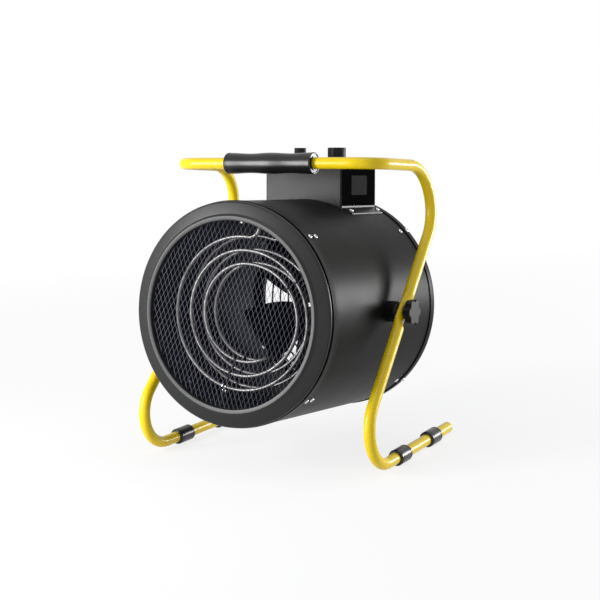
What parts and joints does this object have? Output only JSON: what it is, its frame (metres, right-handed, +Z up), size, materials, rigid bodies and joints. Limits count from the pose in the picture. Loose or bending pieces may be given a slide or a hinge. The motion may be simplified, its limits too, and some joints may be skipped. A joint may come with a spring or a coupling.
{
  "type": "forced air heater",
  "caption": "Drum-shaped fan heater with a mesh outlet, spiral heating element, rear guard and control box, tilting in a bent tube stand with a carrying grip.",
  "frame": {"origin": "bottom centre of the bounding box, on the floor that the foot sleeves rest on", "axes": "+Z up, -Y the side that the warm air leaves, +X to the right seen from that side"},
  "size_m": [0.452, 0.4192, 0.5033],
  "materials": {
    "stand_yellow": "satin powder coat",
    "grip_black": "glossy moulded plastic",
    "cap_black": "matt moulded plastic",
    "drum_grey": "semi-matt powder coat",
    "guard_grey": "grey coat",
    "liner_steel": "plain sheet",
    "element_steel": "stainless sheath",
    "screw_steel": "zinc plated",
    "terminal_brass": "plain",
    "fan_aluminium": "pressed sheet",
    "grommet_rubber": "soft"
  },
  "bodies": {
    "stand": {"stand_tube": "stand_yellow", "handle_grip": "grip_black", "foot_sleeves": "grip_black", "tube_end_caps": "cap_black"},
    "drum": {"front_ring": "drum_grey", "front_grille": "guard_grey", "drum_casing": "drum_grey", "rear_ring": "drum_grey", "rear_guard": "guard_grey", "inner_liner": "liner_steel", "liner_brackets": "liner_steel", "liner_screws": "screw_steel", "casing_screws": "screw_steel", "heating_element": "element_steel", "element_supports": "liner_steel", "support_screws": "screw_steel", "element_ferrules": "element_steel", "terminal_pins": "terminal_brass", "thermal_cutout": "terminal_brass", "motor_bracket": "guard_grey", "bracket_screws": "screw_steel", "motor_body": "guard_grey", "motor_screws": "screw_steel", "motor_bearings": "screw_steel", "control_box": "drum_grey", "control_panel": "cap_black", "box_screws": "screw_steel", "room_thermostat": "cap_black", "selector_switch": "cap_black", "terminal_block": "cap_black", "cable_gland": "cap_black", "gland_locknut": "cap_black", "wire_grommet": "grommet_rubber", "pivot_bosses": "liner_steel", "friction_washers": "cap_black"},
    "fan": {"fan_impeller": "fan_aluminium", "motor_shaft": "screw_steel"},
    "thermostat_dial": {"thermostat_knob": "cap_black", "thermostat_spindle": "screw_steel"},
    "selector_dial": {"selector_knob": "cap_black", "selector_spindle": "screw_steel"},
    "clamp_right": {"clamp_knob_right": "cap_black", "clamp_stud_right": "screw_steel"},
    "clamp_left": {"clamp_knob_left": "cap_black", "clamp_stud_left": "screw_steel"}
  },
  "joints": [
    {"name": "drum_tilt", "type": "hinge", "parent": "stand", "child": "drum", "pos_m": [0, 0.01021, 0.2399], "axis": [-1, 0, 0], "range_deg": [-18, 18]},
    {"name": "fan_spin", "type": "hinge", "parent": "drum", "child": "fan", "pos_m": [0, 0.07485, 0.23311], "axis": [0, 0.9945, -0.1045], "continuous": true},
    {"name": "thermostat_turn", "type": "hinge", "parent": "drum", "child": "thermostat_dial", "pos_m": [0.031, 0.12585, 0.47912], "axis": [0, -0.1045, -0.9945], "range_deg": [0, 270]},
    {"name": "selector_turn", "type": "hinge", "parent": "drum", "child": "selector_dial", "pos_m": [-0.041, 0.12585, 0.47912], "axis": [0, -0.1045, -0.9945], "range_deg": [0, 135]},
    {"name": "clamp_right_turn", "type": "hinge", "parent": "drum", "child": "clamp_right", "pos_m": [0.21, 0.01021, 0.2399], "axis": [1, 0, 0], "range_deg": [0, 360]},
    {"name": "clamp_left_turn", "type": "hinge", "parent": "drum", "child": "clamp_left", "pos_m": [-0.21, 0.01021, 0.2399], "axis": [-1, 0, 0], "range_deg": [0, 360]}
  ]
}
